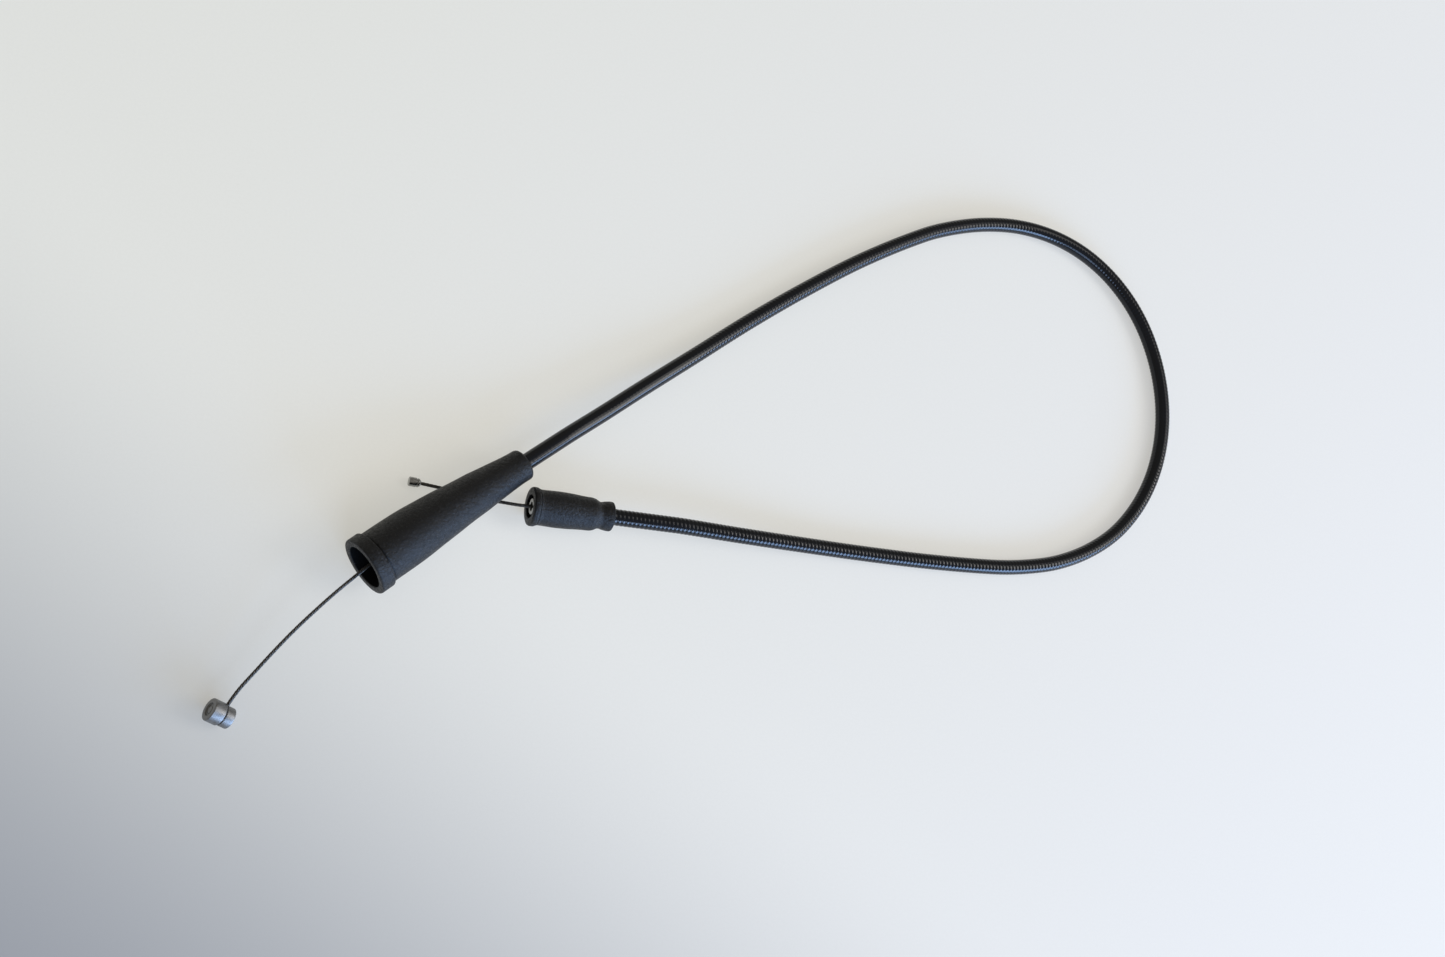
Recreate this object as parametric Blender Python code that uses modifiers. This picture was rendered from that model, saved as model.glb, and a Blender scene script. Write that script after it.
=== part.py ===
# Throttle cable, lying on a table with its conduit in one open loop.
#
# A plastic-jacketed conduit holds a spiral of flat steel wire and a plastic liner. A stranded inner
# wire runs through it, with a double-barrel nipple at the twist-grip end and a small round nipple at
# the carburettor end. A long rubber boot covers the conduit's grip end, and a short rubber cap its
# carburettor end. Metres, +Z up, the table is Z = 0.

import math

import bmesh
import bpy
from mathutils import Matrix, Vector

# Running clearance between neighbours that touch or slide on the real cable
GAP = 0.0003

# Conduit, from the outside in
JACKET_DIAMETER = 0.0070
JACKET_WALL = 0.0009
ARMOUR_WALL = 0.0007
LINER_WALL = 0.0003
WIRE_DIAMETER = 0.0014

# Pressed metal ferrules on the conduit's two ends
FERRULE_WALL = 0.0007
FERRULE_BASE = 0.0010
FERRULE_LENGTH = 0.0110
NOSE_DIAMETER = 0.0066
NOSE_LENGTH = 0.0025
NOSE_BORE_DIAMETER = 0.0038
NOSE_BORE_DEPTH = 0.0014

# Rubber boot on the grip end: its collar rests on the table and its axis dips away from the mouth
BOOT_MOUTH = (-0.1726, -0.0680)
BOOT_HEADING = 37.1
BOOT_DIP = 1.4
BOOT_LENGTH = 0.0785
BOOT_WALL = 0.0020
COLLAR_DIAMETER = 0.0241
COLLAR_LENGTH = 0.0056
BARREL_DIAMETER = 0.0221
BARREL_LENGTH = 0.0180
BOOT_TAIL_DIAMETER = 0.0134
BOOT_EASE = 0.35
THROAT_LENGTH = 0.0220
GRIP_FERRULE_DEPTH = 0.0300

# Rubber cap on the carburettor end: its lip rests on the table and its axis is level
CAP_MOUTH = (-0.1065, -0.0374)
CAP_HEADING = -2.1
CAP_LENGTH = 0.0357
LIP_DIAMETER = 0.0160
LIP_LENGTH = 0.0024
CAP_DIAMETER = 0.0149
CROWN_DEPTH = 0.0110
SHOULDER_DIAMETER = 0.0137
SHOULDER_LENGTH = 0.0028
NECK_DIAMETER = 0.0112
NECK_LENGTH = 0.0034
TAIL_DIAMETER = 0.0121
TAIL_LENGTH = 0.0028
CARB_FERRULE_DEPTH = 0.0006

# Double-barrel nipple at the grip end: the stiff wire holds it up on the small barrel's rim
GRIP_NIPPLE_PLACE = (-0.2200, -0.1245)
GRIP_NIPPLE_HEADING = -21.0
GRIP_NIPPLE_LEAN = 20.0
BIG_BARREL_DIAMETER = 0.0088
BIG_BARREL_LENGTH = 0.0049
SMALL_BARREL_DIAMETER = 0.0080
SMALL_BARREL_LENGTH = 0.0036
WAIST_DIAMETER = 0.0070
WAIST_LENGTH = 0.0005
NIPPLE_CHAMFER = 0.0004
RECESS_DIAMETER = 0.0052
RECESS_DEPTH = 0.0007
RECESS_BOSS_DIAMETER = 0.0026

# Small round nipple at the carburettor end, lying on the table
CARB_NIPPLE_PLACE = (-0.1546, -0.0304)
CARB_NIPPLE_HEADING = -6.0
CARB_NIPPLE_DIAMETER = 0.0038
CARB_NIPPLE_LENGTH = 0.0048
CARB_NIPPLE_SHOULDER = 0.0011
CARB_NIPPLE_CHAMFER = 0.0003

# How far the wire reaches into each nipple, and how far each tail reaches into the conduit
WIRE_SEAT = 0.0026
GRIP_TAIL = 0.0400
CARB_TAIL = 0.0150
GRIP_TRAVEL = 0.0250

# Straight runs of the conduit behind each mouth
GRIP_STRAIGHT = 0.1000
CARB_STRAIGHT = 0.0650

# Free run of the conduit from the boot round to the cap: x, y and the lift of its underside
CONDUIT_ROUTE = (
    (-0.0758, 0.0048, 0.0045),
    (-0.0587, 0.0176, 0.0034),
    (-0.0325, 0.0368, 0.0012),
    (-0.0056, 0.0566, 0.0001),
    (0.0227, 0.0760, 0.0),
    (0.0529, 0.0950, 0.0),
    (0.0859, 0.1125, 0.0),
    (0.1037, 0.1194, 0.0),
    (0.1222, 0.1241, 0.0),
    (0.1411, 0.1261, 0.0),
    (0.1595, 0.1246, 0.0),
    (0.1766, 0.1195, 0.0),
    (0.1914, 0.1111, 0.0),
    (0.2036, 0.0999, 0.0),
    (0.2129, 0.0865, 0.0),
    (0.2191, 0.0715, 0.0),
    (0.2224, 0.0554, 0.0),
    (0.2226, 0.0387, 0.0),
    (0.2194, 0.0218, 0.0),
    (0.2127, 0.0053, 0.0),
    (0.2024, -0.0100, 0.0),
    (0.1887, -0.0233, 0.0),
    (0.1721, -0.0333, 0.0),
    (0.1541, -0.0400, 0.0),
    (0.1358, -0.0434, 0.0),
    (0.1179, -0.0448, 0.0),
    (0.0833, -0.0449, 0.0),
    (0.0502, -0.0439, 0.0001),
    (0.0176, -0.0426, 0.0013),
    (-0.0140, -0.0413, 0.0033),
)

# Free run of the wire from the boot's mouth to the grip nipple: x, y, height of its axis
GRIP_WIRE_ROUTE = (
    (-0.1745, -0.0705, 0.0116),
    (-0.1823, -0.0779, 0.0108),
    (-0.1894, -0.0852, 0.0099),
    (-0.1963, -0.0927, 0.0091),
    (-0.2028, -0.1004, 0.0082),
    (-0.2090, -0.1082, 0.0074),
    (-0.2150, -0.1160, 0.0065),
)

# Free run of the wire from the cap's mouth under the boot to the carburettor nipple
CARB_WIRE_ROUTE = (
    (-0.1103, -0.0373, 0.0077),
    (-0.1132, -0.0369, 0.0067),
    (-0.1161, -0.0363, 0.0052),
    (-0.1191, -0.0357, 0.0036),
    (-0.1221, -0.0351, 0.0022),
    (-0.1251, -0.0345, 0.0013),
    (-0.1281, -0.0339, 0.00095),
    (-0.1344, -0.0328, 0.0008),
    (-0.1408, -0.0318, 0.0009),
    (-0.1464, -0.0312, 0.0014),
)

# Fineness of the turned and swept pieces
TURNED_STEPS = 32
CONDUIT_POINT_SPACING = 0.0155
WIRE_POINT_SPACING = 0.0034

# Values that follow from the sizes above
JACKET_RADIUS = JACKET_DIAMETER / 2
WIRE_RADIUS = WIRE_DIAMETER / 2
ARMOUR_RADIUS = JACKET_RADIUS - JACKET_WALL - GAP
LINER_RADIUS = ARMOUR_RADIUS - ARMOUR_WALL - GAP
WIRE_HOLE_RADIUS = LINER_RADIUS - LINER_WALL
FERRULE_RADIUS = JACKET_RADIUS + GAP + FERRULE_WALL
JACKET_INSET = NOSE_LENGTH + FERRULE_BASE + GAP


def clear_scene():
    for thing in list(bpy.data.objects):
        bpy.data.objects.remove(thing, do_unlink=True)


def add_collection(name):
    collection = bpy.data.collections.new(name)
    bpy.context.scene.collection.children.link(collection)
    return collection


def add_material(name, colour, roughness, metallic):
    material = bpy.data.materials.new(name)
    material.use_nodes = True
    shader = material.node_tree.nodes["Principled BSDF"]
    shader.inputs["Base Color"].default_value = (*colour, 1.0)
    shader.inputs["Roughness"].default_value = roughness
    shader.inputs["Metallic"].default_value = metallic
    return material


def finish_object(name, data, collection, material, matrix=None):
    thing = bpy.data.objects.new(name, data)
    collection.objects.link(thing)
    thing.data.materials.append(material)
    if matrix is not None:
        thing.matrix_world = matrix
    return thing


def axis_frame(place, height, heading, dip=0.0):
    """Frame whose +Z runs along a piece's axis, from its mouth or end into the piece."""
    turn = Matrix.Rotation(math.radians(heading), 4, "Z")
    lay = Matrix.Rotation(math.radians(90.0 + dip), 4, "Y")
    return Matrix.Translation((*place, height)) @ turn @ lay


def boot_frame():
    """The boot's collar touches the table at its back edge, because the axis dips."""
    dip = math.radians(BOOT_DIP)
    height = COLLAR_DIAMETER / 2 * math.cos(dip) + COLLAR_LENGTH * math.sin(dip)
    return axis_frame(BOOT_MOUTH, height, BOOT_HEADING, BOOT_DIP)


def cap_frame():
    return axis_frame(CAP_MOUTH, LIP_DIAMETER / 2, CAP_HEADING)


def grip_nipple_frame():
    """The axis leans down to the small barrel, whose rim behind its chamfer touches the table."""
    lean = math.radians(GRIP_NIPPLE_LEAN)
    rim = WAIST_LENGTH / 2 + SMALL_BARREL_LENGTH - NIPPLE_CHAMFER
    height = SMALL_BARREL_DIAMETER / 2 * math.cos(lean) + rim * math.sin(lean)
    return axis_frame(GRIP_NIPPLE_PLACE, height, GRIP_NIPPLE_HEADING, GRIP_NIPPLE_LEAN)


def carb_nipple_frame():
    return axis_frame(CARB_NIPPLE_PLACE, CARB_NIPPLE_DIAMETER / 2, CARB_NIPPLE_HEADING)


def along(frame, depth):
    return frame @ Vector((0.0, 0.0, depth))


def spline_point(before, start, end, after, share):
    """Catmull-Rom curve between start and end, with tangents scaled to the uneven spacing."""
    span = (end - start).length
    tangent_start = (end - before) * (span / ((start - before).length + span))
    tangent_end = (after - start) * (span / ((after - end).length + span))
    s2 = share * share
    s3 = s2 * share
    return (
        start * (2 * s3 - 3 * s2 + 1)
        + tangent_start * (s3 - 2 * s2 + share)
        + end * (3 * s2 - 2 * s3)
        + tangent_end * (s3 - s2)
    )


def smooth_run(points, spacing):
    """Evenly spaced points on a smooth curve; the first and last points only steer it."""
    fine = []
    for i in range(1, len(points) - 2):
        for k in range(24):
            fine.append(spline_point(*points[i - 1 : i + 3], k / 24))
    fine.append(points[-2])
    lengths = [0.0]
    for a, b in zip(fine, fine[1:]):
        lengths.append(lengths[-1] + (b - a).length)
    count = max(2, round(lengths[-1] / spacing))
    run = []
    j = 0
    for i in range(count + 1):
        target = lengths[-1] * i / count
        while j < len(fine) - 2 and lengths[j + 1] < target:
            j += 1
        step = lengths[j + 1] - lengths[j]
        run.append(fine[j].lerp(fine[j + 1], (target - lengths[j]) / step))
    return run


def straight_run(frame, start, end, spacing):
    count = max(1, round(abs(end - start) / spacing))
    return [along(frame, start + (end - start) * i / count) for i in range(count + 1)]


def conduit_path(grip_start, carb_end):
    """The conduit's centre line between two depths, measured from the boot's and the cap's mouths."""
    boot = boot_frame()
    cap = cap_frame()
    head = straight_run(boot, grip_start, GRIP_STRAIGHT, CONDUIT_POINT_SPACING)
    tail = straight_run(cap, CARB_STRAIGHT, carb_end, CONDUIT_POINT_SPACING)
    route = [Vector((x, y, lift + JACKET_RADIUS)) for x, y, lift in CONDUIT_ROUTE]
    steer_in = along(boot, GRIP_STRAIGHT - CONDUIT_POINT_SPACING)
    steer_out = along(cap, CARB_STRAIGHT - CONDUIT_POINT_SPACING)
    free = smooth_run([steer_in, head[-1], *route, tail[0], steer_out], CONDUIT_POINT_SPACING)
    for point in free:
        point.z = max(point.z, JACKET_RADIUS)
    return head[:-1] + free + tail[1:]


def grip_wire_path():
    boot = boot_frame()
    straight_end = GRIP_FERRULE_DEPTH - GRIP_TRAVEL
    tail = straight_run(boot, GRIP_FERRULE_DEPTH + GRIP_TAIL, straight_end, CONDUIT_POINT_SPACING)
    route = [Vector(point) for point in GRIP_WIRE_ROUTE]
    steer_in = along(boot, straight_end + WIRE_POINT_SPACING)
    seat = grip_nipple_frame().translation
    steer_out = seat + (seat - route[-1])
    free = smooth_run([steer_in, tail[-1], *route, seat, steer_out], WIRE_POINT_SPACING)
    reach = (free[-1] - free[-2]).normalized()
    free[-1] = seat - reach * (WAIST_DIAMETER / 2 - WIRE_SEAT)
    return tail[:-1] + free


def carb_wire_path():
    cap = cap_frame()
    tail = straight_run(cap, CARB_FERRULE_DEPTH + CARB_TAIL, -2 * GAP, CONDUIT_POINT_SPACING)
    route = [Vector(point) for point in CARB_WIRE_ROUTE]
    steer_in = along(cap, WIRE_POINT_SPACING)
    nipple = carb_nipple_frame()
    seat = along(nipple, CARB_NIPPLE_LENGTH - WIRE_SEAT)
    mouth = along(nipple, CARB_NIPPLE_LENGTH)
    free = smooth_run([steer_in, tail[-1], *route, mouth, seat], WIRE_POINT_SPACING)
    return tail[:-1] + free + [seat]


def swept_curve(name, points, radius, resolution, caps):
    curve = bpy.data.curves.new(name, "CURVE")
    curve.dimensions = "3D"
    curve.twist_mode = "Z_UP"
    curve.bevel_depth = radius
    curve.bevel_resolution = resolution
    curve.use_fill_caps = caps
    spline = curve.splines.new("POLY")
    spline.points.add(len(points) - 1)
    for knot, point in zip(spline.points, points):
        knot.co = (*point, 1.0)
    return curve


def add_tube(name, points, radius, wall, collection, material):
    """An open swept skin, given its wall inwards."""
    curve = swept_curve(name, points, radius, 4, False)
    tube = finish_object(name, curve, collection, material)
    shell = tube.modifiers.new("wall", "SOLIDIFY")
    shell.thickness = wall
    shell.offset = -1.0
    shell.use_even_offset = True
    return tube


def add_strand(name, points, collection, material):
    curve = swept_curve(name, points, WIRE_RADIUS, 2, True)
    return finish_object(name, curve, collection, material)


def add_turned(name, outline, frame, collection, material, steps=TURNED_STEPS):
    """Turns (radius, depth) points about the frame's +Z. They run down the outer side and back up the bore."""
    mesh = bpy.data.meshes.new(name)
    outline_mesh = bmesh.new()
    knots = [outline_mesh.verts.new((radius, 0.0, -depth)) for radius, depth in outline]
    for a, b in zip(knots, knots[1:]):
        outline_mesh.edges.new((a, b))
    outline_mesh.to_mesh(mesh)
    outline_mesh.free()
    flip = Matrix.Rotation(math.pi, 4, "X")
    piece = finish_object(name, mesh, collection, material, frame @ flip)
    turn = piece.modifiers.new("turn", "SCREW")
    turn.axis = "Z"
    turn.steps = steps
    turn.render_steps = steps
    turn.use_merge_vertices = True
    turn.merge_threshold = 0.00001
    turn.use_smooth_shade = True
    return piece


def round_corner(radius, depth, size, toward_end):
    """Three points of a rounded outer corner of a turned outline."""
    near = (radius, depth - size) if toward_end else (radius - size, depth)
    far = (radius - size, depth) if toward_end else (radius, depth + size)
    bulge = size * (1.0 - math.sqrt(0.5))
    middle_depth = depth - bulge if toward_end else depth + bulge
    return [near, (radius - bulge, middle_depth), far]


def boot_radius(depth):
    """Outside of the boot behind its collar: a straight barrel that eases down to the tail."""
    ease_length = BOOT_LENGTH - BARREL_LENGTH
    share = min(1.0, max(0.0, (depth - BARREL_LENGTH) / ease_length))
    eased = share - BOOT_EASE * math.sin(math.tau * share) / math.tau
    return BARREL_DIAMETER / 2 - (BARREL_DIAMETER - BOOT_TAIL_DIAMETER) / 2 * eased


def boot_outline():
    throat = JACKET_RADIUS + GAP
    shoulder = BOOT_LENGTH - THROAT_LENGTH
    mouth = BARREL_DIAMETER / 2 - BOOT_WALL
    collar = COLLAR_DIAMETER / 2
    edge = 0.0006
    outside = round_corner(collar, 0.0, edge, False)
    outside += round_corner(collar, COLLAR_LENGTH, edge, True)
    outside += [(boot_radius(COLLAR_LENGTH) - edge / 2, COLLAR_LENGTH)]
    steps = 9
    for i in range(1, steps):
        depth = COLLAR_LENGTH + (BOOT_LENGTH - COLLAR_LENGTH) * i / steps
        outside.append((boot_radius(depth), depth))
    outside += round_corner(BOOT_TAIL_DIAMETER / 2, BOOT_LENGTH, 3 * edge, True)
    bore = [(throat, BOOT_LENGTH), (throat, shoulder), (FERRULE_RADIUS + GAP, shoulder - edge)]
    for share in (0.93, 0.75, 0.55, 0.35):
        depth = shoulder * share
        bore.append((boot_radius(depth) - BOOT_WALL, depth))
    bore += [(mouth, COLLAR_LENGTH), (mouth, edge), (mouth + edge, 0.0)]
    outline = outside + bore
    return outline + outline[:1]


def cap_outline():
    throat = JACKET_RADIUS + GAP
    chamber = FERRULE_RADIUS + GAP
    chamber_end = CARB_FERRULE_DEPTH + NOSE_LENGTH + FERRULE_LENGTH + GAP
    neck_end = CAP_LENGTH - TAIL_LENGTH
    neck_start = neck_end - NECK_LENGTH
    shoulder_start = neck_start - SHOULDER_LENGTH
    shoulder = SHOULDER_DIAMETER / 2
    edge = 0.0006
    body = CAP_DIAMETER / 2
    outside = round_corner(LIP_DIAMETER / 2, 0.0, edge, False)
    outside += round_corner(LIP_DIAMETER / 2, LIP_LENGTH, edge, True)
    outside += [(body - edge / 2, LIP_LENGTH), (body, CROWN_DEPTH), (shoulder, shoulder_start)]
    outside += [(shoulder - edge / 2, shoulder_start + SHOULDER_LENGTH / 2)]
    outside += [(NECK_DIAMETER / 2, neck_start), (NECK_DIAMETER / 2, neck_end)]
    outside += round_corner(TAIL_DIAMETER / 2, neck_end, edge, False)
    outside += round_corner(TAIL_DIAMETER / 2, CAP_LENGTH, edge, True)
    bore = [(throat, CAP_LENGTH), (throat, chamber_end), (chamber, chamber_end)]
    bore += [(chamber, edge), (chamber + edge, 0.0)]
    outline = outside + bore
    return outline + outline[:1]


def ferrule_outline(depth):
    """A cup over the conduit's end with a stepped nose, bored for the wire."""
    nose_end = depth + NOSE_LENGTH
    skirt_end = nose_end + FERRULE_LENGTH
    edge = FERRULE_WALL / 2
    outline = round_corner(NOSE_DIAMETER / 2, depth, edge, False)
    outline += [(NOSE_DIAMETER / 2, nose_end)]
    outline += round_corner(FERRULE_RADIUS, nose_end, edge, False)
    outline += [(FERRULE_RADIUS, skirt_end), (JACKET_RADIUS + GAP, skirt_end)]
    outline += [(JACKET_RADIUS + GAP, nose_end + FERRULE_BASE)]
    outline += [(WIRE_HOLE_RADIUS, nose_end + FERRULE_BASE), (WIRE_HOLE_RADIUS, depth + NOSE_BORE_DEPTH)]
    outline += [(NOSE_BORE_DIAMETER / 2, depth + NOSE_BORE_DEPTH), (NOSE_BORE_DIAMETER / 2, depth)]
    return outline + outline[:1]


def grip_nipple_outline():
    """Depth 0 is the middle of the waist; the big barrel is on the negative side."""
    half_waist = WAIST_LENGTH / 2
    left = -half_waist - BIG_BARREL_LENGTH
    right = half_waist + SMALL_BARREL_LENGTH
    big = BIG_BARREL_DIAMETER / 2
    small = SMALL_BARREL_DIAMETER / 2
    return [
        (0.0, left + RECESS_DEPTH / 2),
        (RECESS_BOSS_DIAMETER / 2, left + RECESS_DEPTH / 2),
        (RECESS_BOSS_DIAMETER / 2 + RECESS_DEPTH / 2, left + RECESS_DEPTH),
        (RECESS_DIAMETER / 2 - RECESS_DEPTH / 2, left + RECESS_DEPTH),
        (RECESS_DIAMETER / 2, left),
        (big - NIPPLE_CHAMFER, left),
        (big, left + NIPPLE_CHAMFER),
        (big, -half_waist - NIPPLE_CHAMFER),
        (big - NIPPLE_CHAMFER, -half_waist),
        (WAIST_DIAMETER / 2, -half_waist),
        (WAIST_DIAMETER / 2, half_waist),
        (small - NIPPLE_CHAMFER, half_waist),
        (small, half_waist + NIPPLE_CHAMFER),
        (small, right - NIPPLE_CHAMFER),
        (small - NIPPLE_CHAMFER, right),
        (0.0, right),
    ]


def carb_nipple_outline():
    """Depth 0 is the free end face; a blind bore in the far end takes the wire."""
    radius = CARB_NIPPLE_DIAMETER / 2
    bore = WIRE_RADIUS + GAP
    shoulder = CARB_NIPPLE_LENGTH - CARB_NIPPLE_SHOULDER
    bore_end = CARB_NIPPLE_LENGTH - WIRE_SEAT - GAP
    return [
        (0.0, 0.0),
        (radius - CARB_NIPPLE_CHAMFER, 0.0),
        (radius, CARB_NIPPLE_CHAMFER),
        (radius, shoulder),
        (bore + CARB_NIPPLE_CHAMFER, CARB_NIPPLE_LENGTH),
        (bore, CARB_NIPPLE_LENGTH),
        (bore, bore_end),
        (0.0, bore_end),
    ]


def bore_for_wire(piece, path, cutters):
    """Cuts the blind hole that the wire's end sits in, along the wire's own last stretch."""
    reach = (path[-1] - path[-2]).normalized()
    length = BIG_BARREL_DIAMETER
    mesh = bpy.data.meshes.new("wire_hole_cutter")
    drill = bmesh.new()
    radius = WIRE_RADIUS + GAP
    bmesh.ops.create_cone(
        drill, cap_ends=True, segments=16, radius1=radius, radius2=radius, depth=length
    )
    drill.to_mesh(mesh)
    drill.free()
    cutter = bpy.data.objects.new("wire_hole_cutter", mesh)
    cutters.objects.link(cutter)
    middle = path[-1] + reach * (GAP - length / 2)
    cutter.matrix_world = Matrix.Translation(middle) @ reach.to_track_quat("Z", "Y").to_matrix().to_4x4()
    cutter.hide_render = True
    cutter.display_type = "WIRE"
    cut = piece.modifiers.new("wire_hole", "BOOLEAN")
    cut.operation = "DIFFERENCE"
    cut.solver = "EXACT"
    cut.object = cutter


def build():
    clear_scene()
    parts = add_collection("throttle_cable")
    cutters = add_collection("cutters")
    plastic = add_material("black_sheath_plastic", (0.018, 0.019, 0.022), 0.35, 0.0)
    liner = add_material("white_liner_plastic", (0.75, 0.75, 0.72), 0.40, 0.0)
    rubber = add_material("black_rubber", (0.022, 0.022, 0.024), 0.62, 0.0)
    steel = add_material("galvanised_steel_strand", (0.30, 0.29, 0.27), 0.40, 1.0)
    zinc = add_material("die_cast_zinc", (0.52, 0.53, 0.55), 0.32, 1.0)
    plate = add_material("plated_steel", (0.60, 0.60, 0.60), 0.25, 1.0)

    boot = boot_frame()
    cap = cap_frame()
    grip_end = GRIP_FERRULE_DEPTH + JACKET_INSET
    carb_end = CARB_FERRULE_DEPTH + JACKET_INSET
    conduit = conduit_path(grip_end, carb_end)
    add_tube("outer_jacket", conduit, JACKET_RADIUS, JACKET_WALL, parts, plastic)
    add_tube("spiral_armour", conduit, ARMOUR_RADIUS, ARMOUR_WALL, parts, steel)
    add_tube("inner_liner", conduit, LINER_RADIUS, LINER_WALL, parts, liner)

    core_start = GRIP_FERRULE_DEPTH + GRIP_TAIL + GRIP_TRAVEL + WIRE_DIAMETER
    core_end = CARB_FERRULE_DEPTH + CARB_TAIL + WIRE_DIAMETER
    add_strand("wire_core", conduit_path(core_start, core_end), parts, steel)

    grip_wire = grip_wire_path()
    add_strand("grip_wire", grip_wire, parts, steel)
    add_strand("carb_wire", carb_wire_path(), parts, steel)

    add_turned("grip_ferrule", ferrule_outline(GRIP_FERRULE_DEPTH), boot, parts, plate)
    add_turned("carb_ferrule", ferrule_outline(CARB_FERRULE_DEPTH), cap, parts, plate)
    add_turned("grip_boot", boot_outline(), boot, parts, rubber)
    add_turned("carb_cap", cap_outline(), cap, parts, rubber)
    nipple = add_turned("grip_nipple", grip_nipple_outline(), grip_nipple_frame(), parts, zinc)
    bore_for_wire(nipple, grip_wire, cutters)
    add_turned("carb_nipple", carb_nipple_outline(), carb_nipple_frame(), parts, plate)


build()
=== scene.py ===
# Throttle cable for a small motorcycle, lying on a pale table with its conduit in one open loop.
# Metres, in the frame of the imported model: +X along the cable, +Z up, the table is Z = 0.

import math

import bpy
from mathutils import Matrix, Vector, noise


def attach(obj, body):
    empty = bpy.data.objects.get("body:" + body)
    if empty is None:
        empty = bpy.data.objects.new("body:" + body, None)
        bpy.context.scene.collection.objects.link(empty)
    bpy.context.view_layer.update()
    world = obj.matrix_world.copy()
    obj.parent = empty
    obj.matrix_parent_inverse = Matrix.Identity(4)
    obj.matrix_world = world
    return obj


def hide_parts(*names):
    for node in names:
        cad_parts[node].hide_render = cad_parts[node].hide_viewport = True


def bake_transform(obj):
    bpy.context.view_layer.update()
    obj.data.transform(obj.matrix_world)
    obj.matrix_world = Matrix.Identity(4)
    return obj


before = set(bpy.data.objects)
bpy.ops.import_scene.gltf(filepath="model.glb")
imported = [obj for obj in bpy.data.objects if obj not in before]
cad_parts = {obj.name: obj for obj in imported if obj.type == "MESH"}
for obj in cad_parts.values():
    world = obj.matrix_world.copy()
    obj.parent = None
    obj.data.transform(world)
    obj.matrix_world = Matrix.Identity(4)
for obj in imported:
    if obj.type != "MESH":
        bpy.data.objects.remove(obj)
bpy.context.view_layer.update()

# Camera
# A 40 mm lens on a 36 mm wide sensor, held about 0.6 m over the table at the cable's nipple end,
# looking down and towards the loop. These are its place and the picture's right and up directions.
camera_place = Vector((-0.2999, -0.1744, 0.6140))
picture_right = Vector((0.90847, 0.0, 0.41795))
picture_up = Vector((-0.09565, 0.97346, 0.20791))
camera_lens = bpy.data.cameras.new("camera")
camera_lens.lens = 40.0
camera_lens.sensor_width = 36.0
camera_lens.clip_start = 0.02
camera_lens.clip_end = 20.0
camera = bpy.data.objects.new("camera", camera_lens)
bpy.context.scene.collection.objects.link(camera)
camera_axes = Matrix((picture_right, picture_up, picture_right.cross(picture_up))).transposed()
camera.matrix_world = Matrix.Translation(camera_place) @ camera_axes.to_4x4()
bpy.context.scene.camera = camera

# Conduit jacket
# A black plastic tube extruded over a close spiral of flat steel wire, so each turn of the spiral
# shows through as a low rib. Near the grip end the plastic was laid thicker and is almost smooth.
# Its ends are pressed into ferrules under the rubber boot and the rubber cap.
JACKET_DIAMETER = 0.0070
JACKET_WALL = 0.0009
JACKET_RADIUS = JACKET_DIAMETER / 2
RIB_PITCH = 0.00182
RIB_DEPTH = 0.00019
RINGS_PER_RIB = 7
JACKET_SIDES = 28
BORE_RING_SPACING = 16

# How strongly the ribs show, against the distance from the conduit's grip end
RIB_STRENGTHS = (
    (0.000, 0.10),
    (0.118, 0.10),
    (0.165, 0.85),
    (0.300, 1.00),
    (0.338, 0.90),
    (0.352, 0.30),
    (0.378, 0.35),
    (0.398, 0.90),
    (0.843, 1.00),
)

# Mouths of the boot and of the cap: place on the table, heading and dip of the axis, in degrees
BOOT_MOUTH = (-0.1726, -0.0680)
BOOT_HEADING = 37.1
BOOT_DIP = 1.4
BOOT_LENGTH = 0.0785
COLLAR_DIAMETER = 0.0241
COLLAR_LENGTH = 0.0056
CAP_MOUTH = (-0.1065, -0.0374)
CAP_HEADING = -2.1
CAP_LENGTH = 0.0350
LIP_DIAMETER = 0.0160

# The conduit's ends, behind those mouths, the straight runs that the rubber gives it, and how far
# back the points lie that steer its curve out of them
CONDUIT_GRIP_END = 0.0338
CONDUIT_CARB_END = 0.0044
GRIP_STRAIGHT = 0.1000
CARB_STRAIGHT = 0.0650
STEER_STEP = 0.0155

# Free run of the conduit from the boot round to the cap: x, y and the lift of its underside
CONDUIT_ROUTE = (
    (-0.0758, 0.0048, 0.0045),
    (-0.0587, 0.0176, 0.0034),
    (-0.0325, 0.0368, 0.0012),
    (-0.0056, 0.0566, 0.0001),
    (0.0227, 0.0760, 0.0),
    (0.0529, 0.0950, 0.0),
    (0.0859, 0.1125, 0.0),
    (0.1037, 0.1194, 0.0),
    (0.1222, 0.1241, 0.0),
    (0.1411, 0.1261, 0.0),
    (0.1595, 0.1246, 0.0),
    (0.1766, 0.1195, 0.0),
    (0.1914, 0.1111, 0.0),
    (0.2036, 0.0999, 0.0),
    (0.2129, 0.0865, 0.0),
    (0.2191, 0.0715, 0.0),
    (0.2224, 0.0554, 0.0),
    (0.2226, 0.0387, 0.0),
    (0.2194, 0.0218, 0.0),
    (0.2127, 0.0053, 0.0),
    (0.2024, -0.0100, 0.0),
    (0.1887, -0.0233, 0.0),
    (0.1721, -0.0333, 0.0),
    (0.1541, -0.0400, 0.0),
    (0.1358, -0.0434, 0.0),
    (0.1179, -0.0448, 0.0),
    (0.0833, -0.0449, 0.0),
    (0.0502, -0.0439, 0.0001),
    (0.0176, -0.0426, 0.0013),
    (-0.0140, -0.0413, 0.0033),
)


def axis_frame(place, height, heading, dip=0.0):
    """Frame whose +Z runs along a piece's axis, from its mouth or end into the piece."""
    turn = Matrix.Rotation(math.radians(heading), 4, "Z")
    lay = Matrix.Rotation(math.radians(90.0 + dip), 4, "Y")
    return Matrix.Translation((*place, height)) @ turn @ lay


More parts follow.
